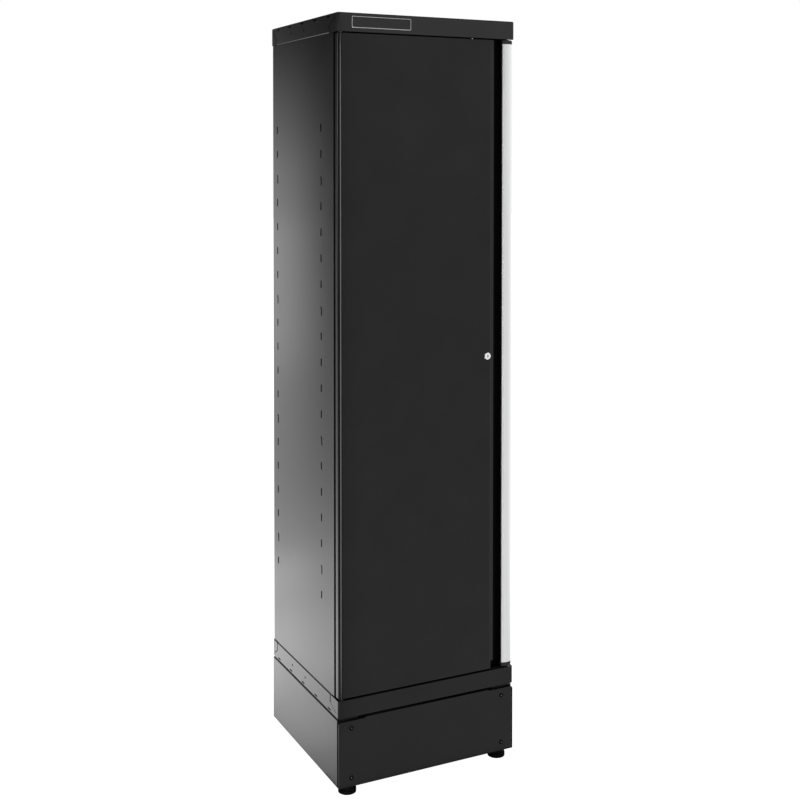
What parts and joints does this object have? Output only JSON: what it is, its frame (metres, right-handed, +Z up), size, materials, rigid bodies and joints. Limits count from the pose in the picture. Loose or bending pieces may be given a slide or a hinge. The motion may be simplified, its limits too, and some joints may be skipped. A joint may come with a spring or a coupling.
{
  "type": "single-door storage cabinet",
  "caption": "Tall storage cabinet in folded black sheet steel with a hinged door, full-height grip handle, cam lock, adjustable shelves and a plinth on levelling feet.",
  "frame": {"origin": "on the floor, under the middle of the cabinet's box", "axes": "+Z up, +X to the right as seen from the front, +Y to the back; the door faces -Y"},
  "size_m": [0.518, 0.47, 2],
  "materials": {
    "black_paint": "semi-gloss black powder coat",
    "silver_aluminium": "satin anodised extrusion",
    "handle_plastic": "dark grey moulded plastic",
    "bright_nickel": "bright nickel plating",
    "zinc_steel": "zinc plated steel",
    "nylon": "black nylon",
    "foot_plastic": "black moulded plastic",
    "rubber": "soft black rubber"
  },
  "bodies": {
    "cabinet": {"top_tray": "black_paint", "bottom_tray": "black_paint", "left_side_panel": "black_paint", "right_side_panel": "black_paint", "left_front_upright": "black_paint", "right_front_upright": "black_paint", "back_panel": "black_paint", "shelf_1": "black_paint", "shelf_2": "black_paint", "shelf_3": "black_paint", "shelf_4": "black_paint", "shelf_clips": "black_paint", "upper_hinge_bush": "nylon", "lower_hinge_bush": "nylon", "door_buffers": "rubber", "plinth_left_side": "black_paint", "plinth_right_side": "black_paint", "plinth_rear_member": "black_paint", "plinth_front_plate": "black_paint", "foot_weld_nuts": "zinc_steel"},
    "door": {"door_panel": "black_paint", "door_stiffener": "black_paint", "upper_pivot_plate": "zinc_steel", "lower_pivot_plate": "zinc_steel", "upper_hinge_pin": "zinc_steel", "lower_hinge_pin": "zinc_steel", "handle_channel": "handle_plastic", "handle_grip": "silver_aluminium", "handle_top_cap": "handle_plastic", "handle_bottom_cap": "handle_plastic", "lock_housing": "bright_nickel", "lock_nut": "zinc_steel"},
    "lock": {"lock_plug": "bright_nickel", "lock_cam": "zinc_steel", "cam_screw": "zinc_steel"},
    "front_left_foot": {"front_left_foot_pad": "foot_plastic", "front_left_foot_stud": "zinc_steel"},
    "front_right_foot": {"front_right_foot_pad": "foot_plastic", "front_right_foot_stud": "zinc_steel"},
    "rear_left_foot": {"rear_left_foot_pad": "foot_plastic", "rear_left_foot_stud": "zinc_steel"},
    "rear_right_foot": {"rear_right_foot_pad": "foot_plastic", "rear_right_foot_stud": "zinc_steel"}
  },
  "joints": [
    {"name": "door_hinge", "type": "hinge", "parent": "cabinet", "child": "door", "pos_m": [-0.2465, -0.223, 1.1], "axis": [0, 0, -1], "range_deg": [0, 110]},
    {"name": "lock_turn", "type": "hinge", "parent": "door", "child": "lock", "pos_m": [0.1792, -0.235, 1.102], "axis": [0, 1, 0], "range_deg": [0, 90]},
    {"name": "front_left_foot_height", "type": "slide", "parent": "cabinet", "child": "front_left_foot", "axis": [0, 0, 1], "range_m": [-0.02, 0]},
    {"name": "front_right_foot_height", "type": "slide", "parent": "cabinet", "child": "front_right_foot", "axis": [0, 0, 1], "range_m": [-0.02, 0]},
    {"name": "rear_left_foot_height", "type": "slide", "parent": "cabinet", "child": "rear_left_foot", "axis": [0, 0, 1], "range_m": [-0.02, 0]},
    {"name": "rear_right_foot_height", "type": "slide", "parent": "cabinet", "child": "rear_right_foot", "axis": [0, 0, 1], "range_m": [-0.02, 0]}
  ]
}
